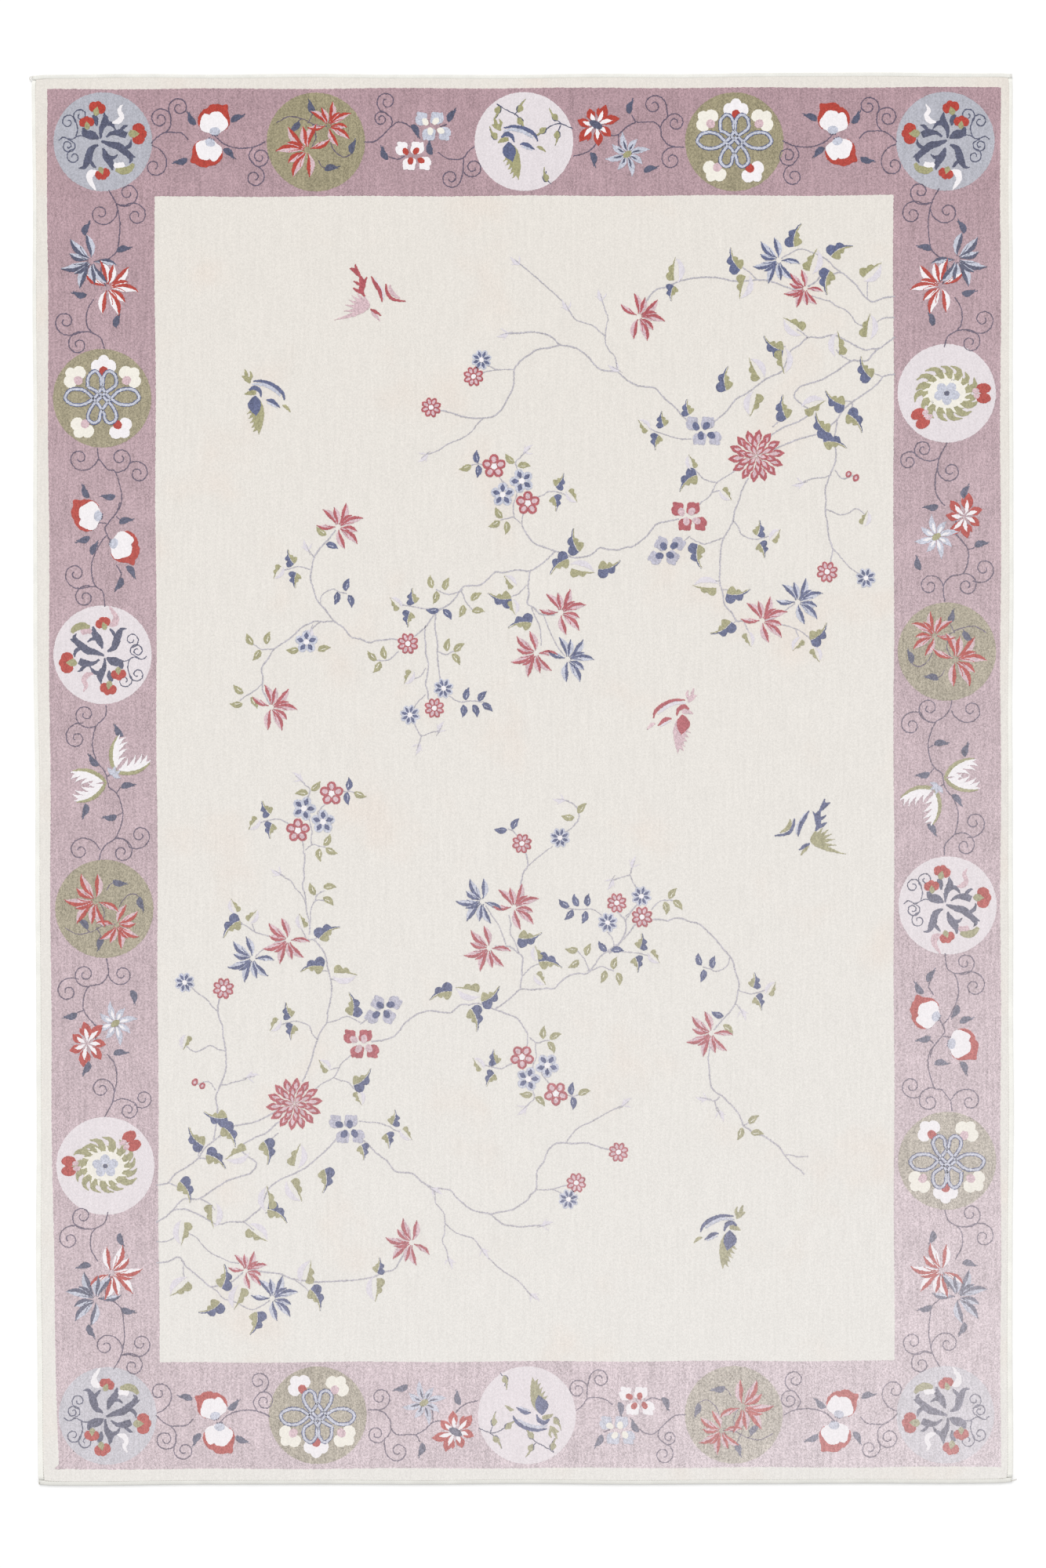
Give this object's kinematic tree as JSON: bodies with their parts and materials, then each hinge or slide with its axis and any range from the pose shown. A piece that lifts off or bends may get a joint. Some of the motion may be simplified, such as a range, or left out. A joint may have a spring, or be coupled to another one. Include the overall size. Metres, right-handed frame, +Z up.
{
  "type": "low-pile rug",
  "caption": "Rectangular low-pile rug that lies flat, with a thin rim all round folded into stitched edge tape.",
  "frame": {"origin": "middle of the flat underside", "axes": "+Z up through the pile, +Y along the rug's length towards its far end, +X across its width"},
  "size_m": [1.5978, 2.3024, 0.0075],
  "materials": {
    "pile": "short dense cut pile, matt, with a soft nap",
    "edge_tape": "off-white woven tape, folded over the rim and stitched"
  },
  "bodies": {
    "root": {"rug_panel": "pile", "binding_far": "edge_tape", "binding_near": "edge_tape", "binding_left": "edge_tape", "binding_right": "edge_tape"}
  },
  "joints": []
}
